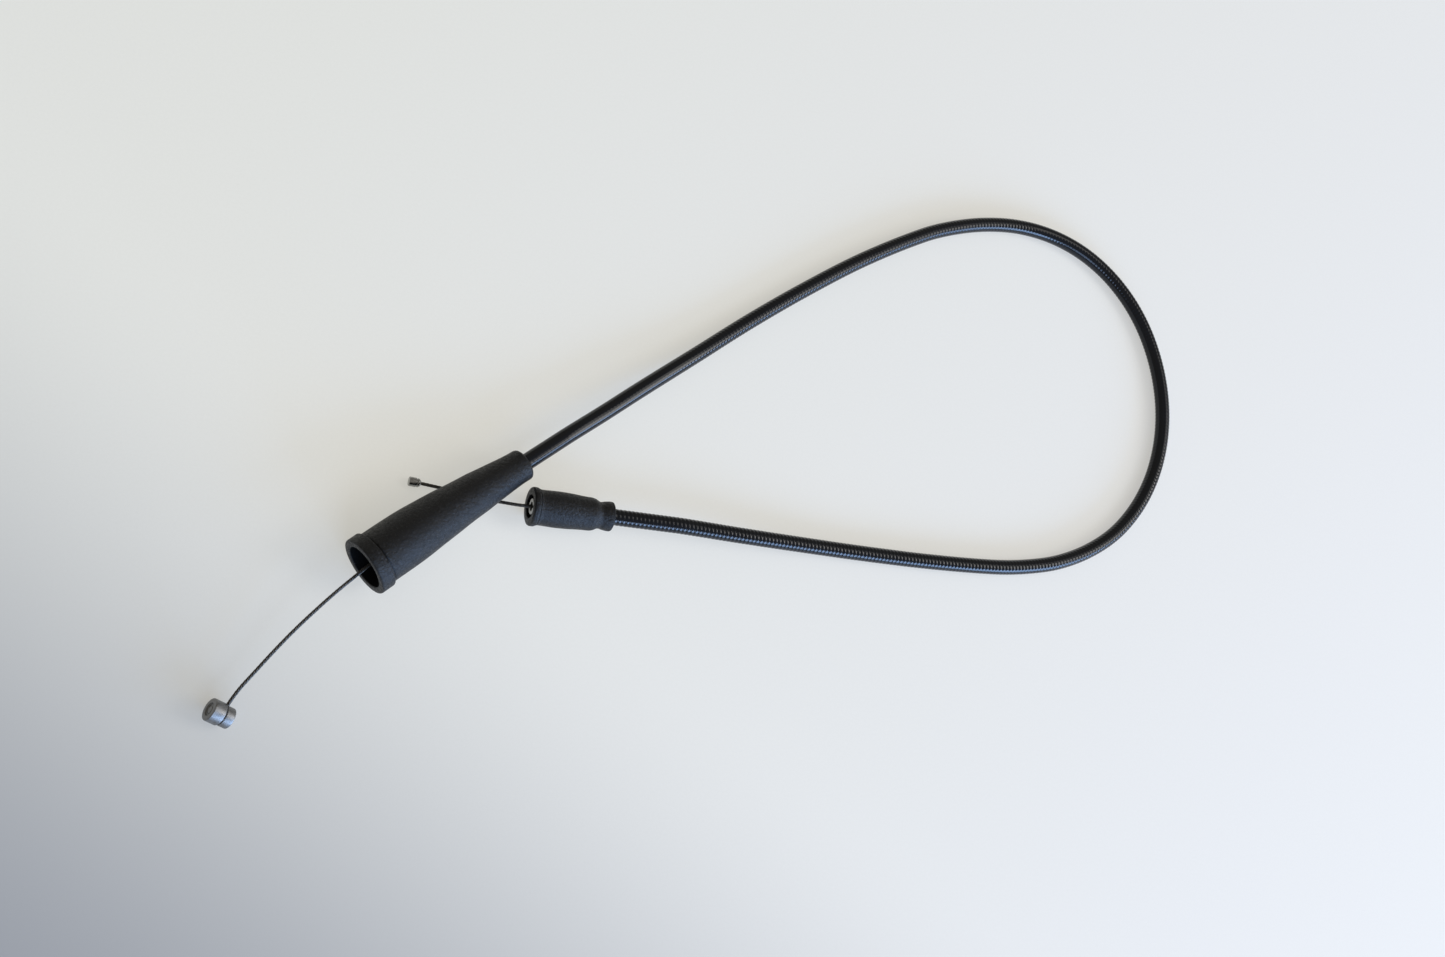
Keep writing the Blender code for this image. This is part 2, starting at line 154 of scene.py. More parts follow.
def along(piece_frame, depth):
    return piece_frame @ Vector((0.0, 0.0, depth))


def spline_point(before, start, end, after, share):
    """A smooth curve between start and end, with tangents scaled to the uneven spacing."""
    span = (end - start).length
    tangent_start = (end - before) * (span / ((start - before).length + span))
    tangent_end = (after - start) * (span / ((after - end).length + span))
    s2 = share * share
    s3 = s2 * share
    return (
        start * (2 * s3 - 3 * s2 + 1)
        + tangent_start * (s3 - 2 * s2 + share)
        + end * (3 * s2 - 2 * s3)
        + tangent_end * (s3 - s2)
    )


CURVE_STEPS = 80


def smooth_run(points):
    """Fine points on a smooth curve; the first and last points only steer it."""
    fine = []
    for i in range(1, len(points) - 2):
        for k in range(CURVE_STEPS):
            fine.append(spline_point(*points[i - 1 : i + 3], k / CURVE_STEPS))
    fine.append(points[-2])
    return fine


def evenly(points, spacing):
    """The same line with its points a constant distance apart."""
    lengths = [0.0]
    for a, b in zip(points, points[1:]):
        lengths.append(lengths[-1] + (b - a).length)
    count = max(2, round(lengths[-1] / spacing))
    run = []
    j = 0
    for i in range(count + 1):
        target = lengths[-1] * i / count
        while j < len(points) - 2 and lengths[j + 1] < target:
            j += 1
        step = lengths[j + 1] - lengths[j]
        run.append(points[j].lerp(points[j + 1], (target - lengths[j]) / step))
    return run


def eased_between(pairs, place):
    """Reads a value from (place, value) pairs, easing from each pair to the next."""
    for (start, low), (end, high) in zip(pairs, pairs[1:]):
        if place <= end:
            share = max(0.0, (place - start) / (end - start))
            return low + (high - low) * share * share * (3 - 2 * share)
    return pairs[-1][1]


def rings_round(line, sides, radius_at):
    """Points of closed rings round a nearly level line; radius_at gives each one's radius."""
    points = []
    for i, centre in enumerate(line):
        ahead = (line[min(i + 1, len(line) - 1)] - line[max(i - 1, 0)]).normalized()
        side = ahead.cross(Vector((0.0, 0.0, 1.0))).normalized()
        rise = side.cross(ahead)
        for k in range(sides):
            angle = math.tau * k / sides
            radius = radius_at(i, angle)
            across = side * (radius * math.cos(angle))
            points.append(centre + across + rise * (radius * math.sin(angle)))
    return points


def skin_faces(first, rings, sides, outward=True):
    """Four-sided faces between neighbouring rings, numbered from the point called first."""
    faces = []
    for i in range(rings - 1):
        for k in range(sides):
            a = first + i * sides + k
            d = first + i * sides + (k + 1) % sides
            face = (a, a + sides, d + sides, d)
            faces.append(face if outward else face[::-1])
    return faces


def mesh_piece(name, points, faces, sharp_angle=40.0):
    """A smooth-shaded mesh object whose edges over sharp_angle stay crisp."""
    mesh = bpy.data.meshes.new(name)
    mesh.from_pydata([tuple(point) for point in points], [], faces)
    mesh.shade_smooth()
    mesh.set_sharp_from_angle(angle=math.radians(sharp_angle))
    piece = bpy.data.objects.new(name, mesh)
    bpy.context.scene.collection.objects.link(piece)
    return piece


def linear(hex_colour):
    """An sRGB hex colour as the linear colour that a shader takes."""
    channels = []
    for start in (1, 3, 5):
        value = int(hex_colour[start : start + 2], 16) / 255
        channels.append(value / 12.92 if value <= 0.04045 else ((value + 0.055) / 1.055) ** 2.4)
    return (*channels, 1.0)


def add_node(tree, kind, settings=None, **links):
    """Adds a node, sets its properties, and gives its sockets values or links them. A socket is
    named with underscores for spaces, or by its number after an underscore."""
    node = tree.nodes.new(kind)
    for name, value in (settings or {}).items():
        setattr(node, name, value)
    for name, value in links.items():
        if name[1:].isdigit():
            socket = node.inputs[int(name[1:])]
        else:
            socket = node.inputs[name.replace("_", " ")]
        if isinstance(value, bpy.types.NodeSocket):
            tree.links.new(value, socket)
        else:
            socket.default_value = value
    return node


def new_material(name):
    """An empty material with its shader, and where a pattern on it is measured from."""
    material = bpy.data.materials.new(name)
    material.use_nodes = True
    tree = material.node_tree
    shader = tree.nodes["Principled BSDF"]
    place = add_node(tree, "ShaderNodeTexCoord").outputs["Object"]
    return material, tree, shader, place


boot_dip = math.radians(BOOT_DIP)
boot_frame = axis_frame(
    BOOT_MOUTH,
    COLLAR_DIAMETER / 2 * math.cos(boot_dip) + COLLAR_LENGTH * math.sin(boot_dip),
    BOOT_HEADING,
    BOOT_DIP,
)
cap_frame = axis_frame(CAP_MOUTH, LIP_DIAMETER / 2, CAP_HEADING)

conduit_free = smooth_run(
    [along(boot_frame, GRIP_STRAIGHT - STEER_STEP), along(boot_frame, GRIP_STRAIGHT)]
    + [Vector((x, y, lift + JACKET_RADIUS)) for x, y, lift in CONDUIT_ROUTE]
    + [along(cap_frame, CARB_STRAIGHT), along(cap_frame, CARB_STRAIGHT - STEER_STEP)]
)
for point in conduit_free:
    point.z = max(point.z, JACKET_RADIUS)
conduit_line = evenly(
    [along(boot_frame, CONDUIT_GRIP_END), *conduit_free, along(cap_frame, CONDUIT_CARB_END)],
    RIB_PITCH / RINGS_PER_RIB,
)
conduit_length = sum((b - a).length for a, b in zip(conduit_line, conduit_line[1:]))


def jacket_radius(ring, angle):
    """Round-backed ribs with narrow valleys, winding along the conduit."""
    place = conduit_length * ring / (len(conduit_line) - 1)
    turn = (place / RIB_PITCH + angle / math.tau) % 1.0
    valley = abs(2 * turn - 1) ** 2.4
    return JACKET_RADIUS - RIB_DEPTH * (0.2 + 0.8 * valley) * eased_between(RIB_STRENGTHS, place)


bore_line = conduit_line[::BORE_RING_SPACING]
bore_line[-1] = conduit_line[-1]
jacket_points = rings_round(conduit_line, JACKET_SIDES, jacket_radius)
bore_points = rings_round(bore_line, JACKET_SIDES, lambda ring, angle: JACKET_RADIUS - JACKET_WALL)
jacket_faces = skin_faces(0, len(conduit_line), JACKET_SIDES)
bore_first = len(jacket_points)
jacket_faces += skin_faces(bore_first, len(bore_line), JACKET_SIDES, outward=False)
last_ring = bore_first - JACKET_SIDES
last_bore_ring = bore_first + len(bore_points) - JACKET_SIDES
for k in range(JACKET_SIDES):
    after = (k + 1) % JACKET_SIDES
    jacket_faces.append((k, after, bore_first + after, bore_first + k))
    jacket_faces.append((last_ring + after, last_ring + k, last_bore_ring + k, last_bore_ring + after))
jacket = mesh_piece("conduit_jacket", jacket_points + bore_points, jacket_faces, 60.0)

# Extruded black plastic: a bluish black with thin sharp highlights, a faint grain left by the die,
# and rubbed patches that look a little greyer and duller.
sheath_plastic, tree, shader, place = new_material("extruded_black_plastic")
rubbed = add_node(tree, "ShaderNodeTexNoise", Vector=place, Scale=45.0, Detail=4.0, Roughness=0.6)
grain = add_node(tree, "ShaderNodeTexNoise", Vector=place, Scale=2600.0, Detail=3.0)
colour = add_node(
    tree,
    "ShaderNodeMix",
    {"data_type": "RGBA"},
    _0=rubbed.outputs["Fac"],
    _6=linear("#0D0F13"),
    _7=linear("#15181D"),
)
dullness = add_node(
    tree,
    "ShaderNodeMapRange",
    Value=rubbed.outputs["Fac"],
    From_Min=0.3,
    From_Max=0.7,
    To_Min=0.09,
    To_Max=0.15,
)
surface = add_node(tree, "ShaderNodeBump", Height=grain.outputs["Fac"], Strength=0.10, Distance=0.00004)
tree.links.new(colour.outputs[2], shader.inputs["Base Color"])
tree.links.new(dullness.outputs["Result"], shader.inputs["Roughness"])
tree.links.new(surface.outputs["Normal"], shader.inputs["Normal"])
shader.inputs["IOR"].default_value = 1.53
shader.inputs["Specular IOR Level"].default_value = 0.29
jacket.data.materials.append(sheath_plastic)
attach(jacket, "conduit")
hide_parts("outer_jacket")

# Inner wire
# One stranded wire of galvanised steel runs through the conduit from nipple to nipple: six
# strands laid round a core. It shows only outside the two ferrules, and moves in the liner.
WIRE_DIAMETER = 0.0014
WIRE_RADIUS = WIRE_DIAMETER / 2
STRAND_COUNT = 6
STRAND_LAY = 0.0100
STRAND_SIDES = 8
WIRE_RING_SPACING = 0.00030
GROOVE_RADIUS = 0.74

# Free run of the wire from the boot's mouth to the grip nipple: x, y, height of its axis
GRIP_WIRE_ROUTE = (
    (-0.1745, -0.0705, 0.0116),
    (-0.1823, -0.0779, 0.0108),
    (-0.1894, -0.0852, 0.0099),
    (-0.1963, -0.0927, 0.0091),
    (-0.2028, -0.1004, 0.0082),
    (-0.2090, -0.1082, 0.0074),
    (-0.2150, -0.1160, 0.0065),
)

# Free run of the wire from the cap's mouth under the boot to the carburettor nipple
CARB_WIRE_ROUTE = (
    (-0.1103, -0.0373, 0.0077),
    (-0.1132, -0.0369, 0.0067),
    (-0.1161, -0.0363, 0.0052),
    (-0.1191, -0.0357, 0.0036),
    (-0.1221, -0.0351, 0.0022),
    (-0.1251, -0.0345, 0.0013),
    (-0.1281, -0.0339, 0.00095),
    (-0.1344, -0.0328, 0.0008),
    (-0.1408, -0.0318, 0.0009),
    (-0.1464, -0.0312, 0.0014),
)

# Where the two nipples lie, and how deep the wire is cast or pressed into them
GRIP_NIPPLE_PLACE = (-0.2200, -0.1245)
GRIP_NIPPLE_HEADING = -21.0
GRIP_NIPPLE_LEAN = 20.0
SMALL_BARREL_DIAMETER = 0.0080
SMALL_BARREL_LENGTH = 0.0036
WAIST_DIAMETER = 0.0070
WAIST_LENGTH = 0.0005
NIPPLE_CHAMFER = 0.0004
CARB_NIPPLE_PLACE = (-0.1546, -0.0304)
CARB_NIPPLE_HEADING = -6.0
CARB_NIPPLE_DIAMETER = 0.0038
CARB_NIPPLE_LENGTH = 0.0048
WIRE_SEAT = 0.0026

# The wire's ends inside the conduit, measured from the ferrules' mouths
GRIP_FERRULE_DEPTH = 0.0300
CARB_FERRULE_DEPTH = 0.0006
GRIP_TAIL = 0.0260
CARB_TAIL = 0.0150

nipple_lean = math.radians(GRIP_NIPPLE_LEAN)
nipple_rim = WAIST_LENGTH / 2 + SMALL_BARREL_LENGTH - NIPPLE_CHAMFER
grip_nipple_frame = axis_frame(
    GRIP_NIPPLE_PLACE,
    SMALL_BARREL_DIAMETER / 2 * math.cos(nipple_lean) + nipple_rim * math.sin(nipple_lean),
    GRIP_NIPPLE_HEADING,
    GRIP_NIPPLE_LEAN,
)
carb_nipple_frame = axis_frame(CARB_NIPPLE_PLACE, CARB_NIPPLE_DIAMETER / 2, CARB_NIPPLE_HEADING)


def strand_radius(ring, angle):
    """Outline of the strands round the wire, turning as they run along it."""
    turn = angle / math.tau - ring * WIRE_RING_SPACING / STRAND_LAY
    off_crown = (turn * STRAND_COUNT) % 1.0 - 0.5
    strand = WIRE_RADIUS / 3
    bend = off_crown * math.tau / STRAND_COUNT
    edge = strand * strand - (2 * strand * math.sin(bend)) ** 2
    crown = 2 * strand * math.cos(bend) + math.sqrt(max(0.0, edge))
    return max(crown, WIRE_RADIUS * GROOVE_RADIUS)


def stranded_wire(name, line):
    """A closed mesh of twisted strands along a line, which keeps each groove's depth."""
    sides = STRAND_COUNT * STRAND_SIDES
    points = rings_round(line, sides, strand_radius)
    faces = skin_faces(0, len(line), sides)
    for first, order in ((0, 1), (len(points) - sides, -1)):
        points.append(sum((points[first + k] for k in range(sides)), Vector()) / sides)
        for k in range(sides):
            faces.append((first + k, first + (k + 1) % sides, len(points) - 1)[::order])
    wire = mesh_piece(name, points, faces, 70.0)
    grooves = wire.data.attributes.new("groove", "FLOAT", "POINT")
    for i, value in enumerate(grooves.data):
        ring, side = divmod(i, sides)
        radius = strand_radius(ring, math.tau * side / sides) if ring < len(line) else WIRE_RADIUS
        value.value = (WIRE_RADIUS - radius) / (WIRE_RADIUS * (1 - GROOVE_RADIUS))
    return wire


grip_wire_free = smooth_run(
    [along(boot_frame, 0.0084), along(boot_frame, 0.0050)]
    + [Vector(point) for point in GRIP_WIRE_ROUTE]
    + [
        grip_nipple_frame.translation.copy(),
        grip_nipple_frame.translation * 2 - Vector(GRIP_WIRE_ROUTE[-1]),
    ]
)
grip_wire_reach = (grip_wire_free[-1] - grip_wire_free[-2]).normalized()
grip_wire_start = along(boot_frame, GRIP_FERRULE_DEPTH + GRIP_TAIL)
grip_wire_line = evenly([grip_wire_start, *grip_wire_free], WIRE_RING_SPACING)
grip_wire_end = grip_nipple_frame.translation - grip_wire_reach * (WAIST_DIAMETER / 2 - WIRE_SEAT)
while (grip_wire_line[-1] - grip_wire_end).dot(grip_wire_reach) > 0:
    grip_wire_line.pop()
grip_wire = stranded_wire("grip_wire_strands", grip_wire_line)

carb_wire_free = smooth_run(
    [along(cap_frame, 0.0034), along(cap_frame, -0.0006)]
    + [Vector(point) for point in CARB_WIRE_ROUTE]
    + [
        along(carb_nipple_frame, CARB_NIPPLE_LENGTH),
        along(carb_nipple_frame, CARB_NIPPLE_LENGTH - WIRE_SEAT),
    ]
)
carb_wire_line = evenly(
    [
        along(cap_frame, CARB_FERRULE_DEPTH + CARB_TAIL),
        *carb_wire_free,
        along(carb_nipple_frame, CARB_NIPPLE_LENGTH - WIRE_SEAT),
    ],
    WIRE_RING_SPACING,
)
carb_wire = stranded_wire("carb_wire_strands", carb_wire_line)

# Galvanised steel strand: dull grey metal in mottled tones, coloured darker down in the grooves
# between the strands. The strands' own fine wires are drawn twice as coarse as real.
strand_steel, tree, shader, place = new_material("galvanised_steel_strand")
groove = add_node(tree, "ShaderNodeAttribute", {"attribute_name": "groove"})
fine_wires = add_node(tree, "ShaderNodeTexNoise", Vector=place, Scale=3200.0, Detail=2.0)
# Darker colour down in the grooves, following their depth
groove_dark = add_node(
    tree,
    "ShaderNodeMapRange",
    Value=groove.outputs["Fac"],
    From_Min=0.15,
    From_Max=0.85,
    To_Min=0.0,
    To_Max=1.0,
)
worn = add_node(
    tree,
    "ShaderNodeMix",
    {"data_type": "RGBA"},
    _0=fine_wires.outputs["Fac"],
    _6=linear("#3C3936"),
    _7=linear("#75716B"),
)
colour = add_node(
    tree,
    "ShaderNodeMix",
    {"data_type": "RGBA"},
    _0=groove_dark.outputs["Result"],
    _6=worn.outputs[2],
    _7=linear("#151311"),
)
dullness = add_node(
    tree,
    "ShaderNodeMapRange",
    Value=fine_wires.outputs["Fac"],
    From_Min=0.3,
    From_Max=0.7,
    To_Min=0.28,
    To_Max=0.48,
)
surface = add_node(
    tree, "ShaderNodeBump", Height=fine_wires.outputs["Fac"], Strength=0.35, Distance=0.00008
)
tree.links.new(colour.outputs[2], shader.inputs["Base Color"])
tree.links.new(dullness.outputs["Result"], shader.inputs["Roughness"])
tree.links.new(surface.outputs["Normal"], shader.inputs["Normal"])
shader.inputs["Metallic"].default_value = 0.9
grip_wire.data.materials.append(strand_steel)
carb_wire.data.materials.append(strand_steel)
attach(grip_wire, "grip_end")
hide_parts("grip_wire")
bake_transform(carb_wire)
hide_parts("carb_wire")
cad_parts["wire_core"].data.materials.clear()
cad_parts["wire_core"].data.materials.append(strand_steel)

# Ferrules
# A turned and zinc-plated steel cup is crimped over each end of the conduit, with a smaller nose
# that stands in the housing. The one at the carburettor end shows its face inside the cap.
FERRULE_WALL = 0.0007
FERRULE_BASE = 0.0010
FERRULE_LENGTH = 0.0110
NOSE_DIAMETER = 0.0066
NOSE_LENGTH = 0.0025
NOSE_BORE_DIAMETER = 0.0038
NOSE_BORE_DEPTH = 0.0014
WIRE_HOLE_RADIUS = 0.0010
CLEARANCE = 0.0003
FERRULE_RADIUS = JACKET_RADIUS + CLEARANCE + FERRULE_WALL
FERRULE_SIDES = 64


def filleted(corners, steps=4):
    """Rounds each (radius, depth, size) corner of an outline and returns (radius, depth) points."""
    outline = []
    count = len(corners)
    for i, (radius, depth, size) in enumerate(corners):
        corner = Vector((radius, depth))
        if size == 0.0:
            outline.append(corner)
            continue
        start = corner + (Vector(corners[i - 1][:2]) - corner).normalized() * size
        end = corner + (Vector(corners[(i + 1) % count][:2]) - corner).normalized() * size
        for k in range(steps + 1):
            share = k / steps
            outline.append(start.lerp(corner, share).lerp(corner.lerp(end, share), share))
    return outline


def turned(name, outline, piece_frame, sides, shift=None, sharp_angle=40.0):
    """Turns a closed (radius, depth) outline about a frame's +Z; shift moves its points in and out
    and along the axis."""
    points = []
    for radius, depth in outline:
        for k in range(sides):
            angle = math.tau * k / sides
            out, along_axis = shift(angle, depth, radius) if shift else (0.0, 0.0)
            spread = radius + out
            point = Vector((spread * math.cos(angle), spread * math.sin(angle), depth + along_axis))
            points.append(piece_frame @ point)
    faces = []
    for i in range(len(outline)):
        j = (i + 1) % len(outline)
        for k in range(sides):
            m = (k + 1) % sides
            faces.append((i * sides + k, i * sides + m, j * sides + m, j * sides + k))
    return mesh_piece(name, points, faces, sharp_angle)


def ferrule_outline(depth):
    nose_end = depth + NOSE_LENGTH
    skirt_end = nose_end + FERRULE_LENGTH
    seat = nose_end + FERRULE_BASE
    return filleted(
        (
            (NOSE_DIAMETER / 2, depth, 0.00035),
            (NOSE_DIAMETER / 2, nose_end, 0.00010),
            (FERRULE_RADIUS, nose_end, 0.00040),
            (FERRULE_RADIUS, skirt_end, 0.00015),
            (JACKET_RADIUS + CLEARANCE / 2, skirt_end, 0.00015),
            (JACKET_RADIUS + CLEARANCE / 2, seat, 0.0),
            (WIRE_HOLE_RADIUS, seat, 0.0),
            (WIRE_HOLE_RADIUS, depth + NOSE_BORE_DEPTH, 0.00010),
            (NOSE_BORE_DIAMETER / 2, depth + NOSE_BORE_DEPTH, 0.00030),
            (NOSE_BORE_DIAMETER / 2, depth, 0.00025),
        )
    )


# Zinc-plated steel: bright metal whose thin plating has gone a little cloudy in patches, which
# makes some spots duller than others.
plated_steel, tree, shader, place = new_material("zinc_plated_steel")
blotches = add_node(tree, "ShaderNodeTexNoise", Vector=place, Scale=700.0, Detail=3.0)
dullness = add_node(
    tree,
    "ShaderNodeMapRange",
    Value=blotches.outputs["Fac"],
    From_Min=0.3,
    From_Max=0.7,
    To_Min=0.20,
    To_Max=0.36,
)
colour = add_node(
    tree,
    "ShaderNodeMix",
    {"data_type": "RGBA"},
    _0=blotches.outputs["Fac"],
    _6=linear("#828281"),
    _7=linear("#B6B6B3"),
)
surface = add_node(
    tree, "ShaderNodeBump", Height=blotches.outputs["Fac"], Strength=0.15, Distance=0.00005
)
tree.links.new(colour.outputs[2], shader.inputs["Base Color"])
tree.links.new(dullness.outputs["Result"], shader.inputs["Roughness"])
tree.links.new(surface.outputs["Normal"], shader.inputs["Normal"])
shader.inputs["Metallic"].default_value = 1.0
for ferrule_name, mouth_frame, ferrule_depth in (
    ("grip_ferrule", boot_frame, GRIP_FERRULE_DEPTH),
    ("carb_ferrule", cap_frame, CARB_FERRULE_DEPTH),
):
    ferrule = turned(ferrule_name + "_cup", ferrule_outline(ferrule_depth), mouth_frame, FERRULE_SIDES)
    ferrule.data.materials.append(plated_steel)
    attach(ferrule, "conduit")
    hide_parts(ferrule_name)

# Grip boot
# A long moulded rubber boot with a thick collar round its mouth. It is pushed over the conduit and
# holds by its tight tail; its wide mouth goes over the neck of the twist-grip housing.
BOOT_WALL = 0.0020
BOOT_SIDES = 144
BOOT_THROAT = 0.0220
COLLAR_RADIUS = COLLAR_DIAMETER / 2
COLLAR_SKEW = 0.0005
COLLAR_GROOVE = 0.00035
MOUTH_RADIUS = 0.0090
MOUTH_DEPTH = 0.0180
THROAT_LEAD = 0.0030
BOOT_BOW = 0.0007
BOOT_UNEVENNESS = 0.00006

# Outside of the boot behind its collar: depth from the mouth, radius
BOOT_RADII = (
    (0.0056, 0.01104),
    (0.0120, 0.01104),
    (0.0150, 0.01102),
    (0.0200, 0.01096),
    (0.0250, 0.01074),
    (0.0300, 0.01035),
    (0.0350, 0.00998),
    (0.0400, 0.00959),
    (0.0450, 0.00912),
    (0.0500, 0.00875),
    (0.0550, 0.00844),
    (0.0600, 0.00794),
    (0.0650, 0.00747),
    (0.0700, 0.00701),
    (0.0740, 0.00675),
    (0.0770, 0.00671),
    (0.0785, 0.00671),
)


def curve_through(pairs, spacing):
    """Points on a smooth curve through measured (depth, radius) pairs."""
    knots = [Vector((radius, depth)) for depth, radius in pairs]
    fine = smooth_run([knots[0] * 2 - knots[1], *knots, knots[-1] * 2 - knots[-2]])
    return evenly(fine, spacing)


boot_side = curve_through(BOOT_RADII, spacing=0.0016)
throat_radius = JACKET_RADIUS + CLEARANCE / 2
throat_start = BOOT_LENGTH - BOOT_THROAT
boot_outline = filleted(
    (
        (MOUTH_RADIUS, 0.0002, 0.00025),
        (MOUTH_RADIUS + 0.0006, 0.0, 0.0002),
        (COLLAR_RADIUS, 0.0, 0.0008),
        (COLLAR_RADIUS, COLLAR_LENGTH, 0.0006),
        (BOOT_RADII[0][1] - COLLAR_GROOVE, COLLAR_LENGTH + 0.0001, 0.00020),
        (BOOT_RADII[0][1] - COLLAR_GROOVE, COLLAR_LENGTH + 0.0004, 0.00015),
        (BOOT_RADII[0][1], COLLAR_LENGTH + 0.0010, 0.00030),
        (boot_side[1].x, boot_side[1].y, 0.0),
    )
)[:-1]
boot_outline += boot_side[1:-1]
boot_outline += filleted(
    (
        (boot_side[-2].x, boot_side[-2].y, 0.0),
        (BOOT_RADII[-1][1], BOOT_LENGTH, 0.0017),
        (throat_radius, BOOT_LENGTH, 0.0004),
        (throat_radius, BOOT_LENGTH - 0.004, 0.0),
    ),
    6,
)[1:]
boot_outline += [Vector((throat_radius, throat_start))]
boot_outline += [Vector((FERRULE_RADIUS + CLEARANCE, throat_start - 0.0006))]
for point in reversed(boot_side[3:-1]):
    if MOUTH_DEPTH < point.y < throat_start - THROAT_LEAD:
        boot_outline.append(Vector((point.x - BOOT_WALL, point.y)))
boot_outline += [Vector((MOUTH_RADIUS, depth)) for depth in (0.0150, 0.0080, 0.0030)]


def boot_inside(depth, radius):
    return radius < eased_between(BOOT_RADII, depth) - BOOT_WALL / 2


def boot_shift(angle, depth, radius):
    """The soft boot bows a little to one side, its collar ends askew, and its skin is uneven."""
    if boot_inside(depth, radius):
        return 0.0, 0.0
    where = Vector((math.cos(angle) * 1.3, math.sin(angle) * 1.3, depth * 60.0))
    bow = BOOT_BOW * math.sin(math.pi * depth / BOOT_LENGTH) * math.sin(angle)
    askew = -COLLAR_SKEW * math.sin(angle) * max(0.0, 1.0 - abs(depth - COLLAR_LENGTH) / COLLAR_LENGTH)
    return bow + BOOT_UNEVENNESS * noise.noise(where), askew


boot = turned("grip_boot_rubber", boot_outline, boot_frame, BOOT_SIDES, boot_shift)

# Moulded black rubber: a broad sheen broken up by the mould's sand texture, a grey bloom of wax in
# soft patches, and scattered pale specks of it. The sand texture is drawn at 1.2 mm so it shows.
boot_rubber, tree, shader, place = new_material("moulded_black_rubber")
bloom = add_node(tree, "ShaderNodeTexNoise", Vector=place, Scale=110.0, Detail=5.0, Roughness=0.65)
sand = add_node(tree, "ShaderNodeTexNoise", Vector=place, Scale=850.0, Detail=4.0, Roughness=0.7)
specks = add_node(tree, "ShaderNodeTexVoronoi", Vector=place, Scale=900.0)
colour = add_node(
    tree,
    "ShaderNodeMix",
    {"data_type": "RGBA"},
    _0=bloom.outputs["Fac"],
    _6=linear("#070809"),
    _7=linear("#121213"),
)
speck_amount = add_node(
    tree,
    "ShaderNodeMapRange",
    Value=specks.outputs["Distance"],
    From_Min=0.05,
    From_Max=0.30,
    To_Min=0.30,
    To_Max=0.0,
)
speckled = add_node(
    tree,
    "ShaderNodeMix",
    {"data_type": "RGBA"},
    _0=speck_amount.outputs["Result"],
    _6=colour.outputs[2],
    _7=linear("#4A4A48"),
)
dullness = add_node(
    tree,
    "ShaderNodeMapRange",
    Value=sand.outputs["Fac"],
    From_Min=0.3,
    From_Max=0.7,
    To_Min=0.32,
    To_Max=0.66,
)
surface = add_node(tree, "ShaderNodeBump", Height=sand.outputs["Fac"], Strength=0.85, Distance=0.00060)
tree.links.new(speckled.outputs[2], shader.inputs["Base Color"])
tree.links.new(dullness.outputs["Result"], shader.inputs["Roughness"])
tree.links.new(surface.outputs["Normal"], shader.inputs["Normal"])
shader.inputs["IOR"].default_value = 1.52
shader.inputs["Specular IOR Level"].default_value = 0.34
boot.data.materials.append(boot_rubber)

# The bore gets a darker, duller copy of the rubber: painted shade for the dim inside.
shaded_inside_rubber, tree, shader, place = new_material("black_rubber_inside")
shade_mottle = add_node(tree, "ShaderNodeTexNoise", Vector=place, Scale=300.0, Detail=3.0)
colour = add_node(
    tree,
    "ShaderNodeMix",
    {"data_type": "RGBA"},
    _0=shade_mottle.outputs["Fac"],
    _6=linear("#050505"),
    _7=linear("#0B0B0B"),
)
tree.links.new(colour.outputs[2], shader.inputs["Base Color"])
shader.inputs["Roughness"].default_value = 0.75
shader.inputs["IOR"].default_value = 1.52
shader.inputs["Specular IOR Level"].default_value = 0.12


def line_inside(piece, piece_frame, inside):
    """Gives the faces of a turned piece's bore the darker inside rubber, painted shade."""
    piece.data.materials.append(shaded_inside_rubber)
    to_local = piece_frame.inverted()
    for face in piece.data.polygons:
        centre = to_local @ face.center
        if inside(centre.z, math.hypot(centre.x, centre.y)):
            face.material_index = 1


line_inside(boot, boot_frame, lambda depth, radius: depth > 0.0006 and boot_inside(depth, radius))
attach(boot, "boot")
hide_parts("grip_boot")

# Carburettor cap
# A short moulded rubber cap, pushed over the conduit's other end. It has a rounded lip at its
# mouth, a straight body, a soft shoulder, and a tight ring that grips the conduit.
CAP_SIDES = 112
LIP_LENGTH = 0.0030
CAP_UNEVENNESS = 0.00007

# Outside of the cap behind its lip: depth from the mouth, radius
CAP_RADII = (
    (0.0030, 0.00762),
    (0.0036, 0.00738),
    (0.0042, 0.00730),
    (0.0072, 0.00735),
    (0.0112, 0.00745),
    (0.0142, 0.00740),
    (0.0172, 0.00728),
    (0.0202, 0.00705),
    (0.0232, 0.00689),
    (0.0258, 0.00684),
    (0.0268, 0.00668),
    (0.0278, 0.00630),
    (0.0288, 0.00575),
    (0.0297, 0.00552),
    (0.0305, 0.00556),
    (0.0312, 0.00580),
    (0.0325, 0.00600),
    (0.0338, 0.00615),
    (0.0343, 0.00613),
)
chamber_radius = FERRULE_RADIUS + CLEARANCE
chamber_end = CARB_FERRULE_DEPTH + NOSE_LENGTH + FERRULE_LENGTH + CLEARANCE
cap_side = curve_through(CAP_RADII, spacing=0.0007)
cap_outline = filleted(
    (
        (chamber_radius, 0.0002, 0.0002),
        (chamber_radius + 0.0004, 0.0, 0.0002),
        (LIP_DIAMETER / 2, 0.0, 0.0010),
        (LIP_DIAMETER / 2, LIP_LENGTH, 0.0011),
        (cap_side[0].x, cap_side[0].y, 0.0),
    )
)[:-1]
cap_outline += cap_side[:-1]
cap_outline += filleted(
    (
        (cap_side[-2].x, cap_side[-2].y, 0.0),
        (CAP_RADII[-1][1], CAP_LENGTH, 0.0006),
        (throat_radius, CAP_LENGTH, 0.0003),
        (throat_radius, chamber_end, 0.0),
    ),
    6,
)[1:]
cap_outline += [Vector((chamber_radius, depth)) for depth in (chamber_end, 0.0080, 0.0030)]


